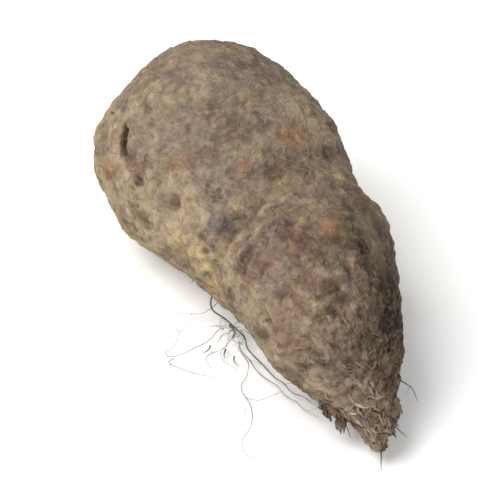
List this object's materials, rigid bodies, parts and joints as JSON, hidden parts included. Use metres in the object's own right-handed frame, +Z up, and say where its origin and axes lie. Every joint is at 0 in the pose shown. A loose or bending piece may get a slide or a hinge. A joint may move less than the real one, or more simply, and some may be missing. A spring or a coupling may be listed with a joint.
{
  "type": "chinese potato tuber",
  "caption": "Small earthy brown tuber with a round crown, a second swelling over its lower half, a ragged root tip and fine rootlets.",
  "frame": {"origin": "middle of the small flat spot that the tuber lies on, under its weight", "axes": "+X along the tuber from its round crown to its root tip, +Y to the side without the long rootlets, +Z up"},
  "size_m": [0.0581, 0.0273, 0.0251],
  "materials": {
    "skin": "matte"
  },
  "bodies": {
    "root": {"tuber": "skin"}
  },
  "joints": []
}
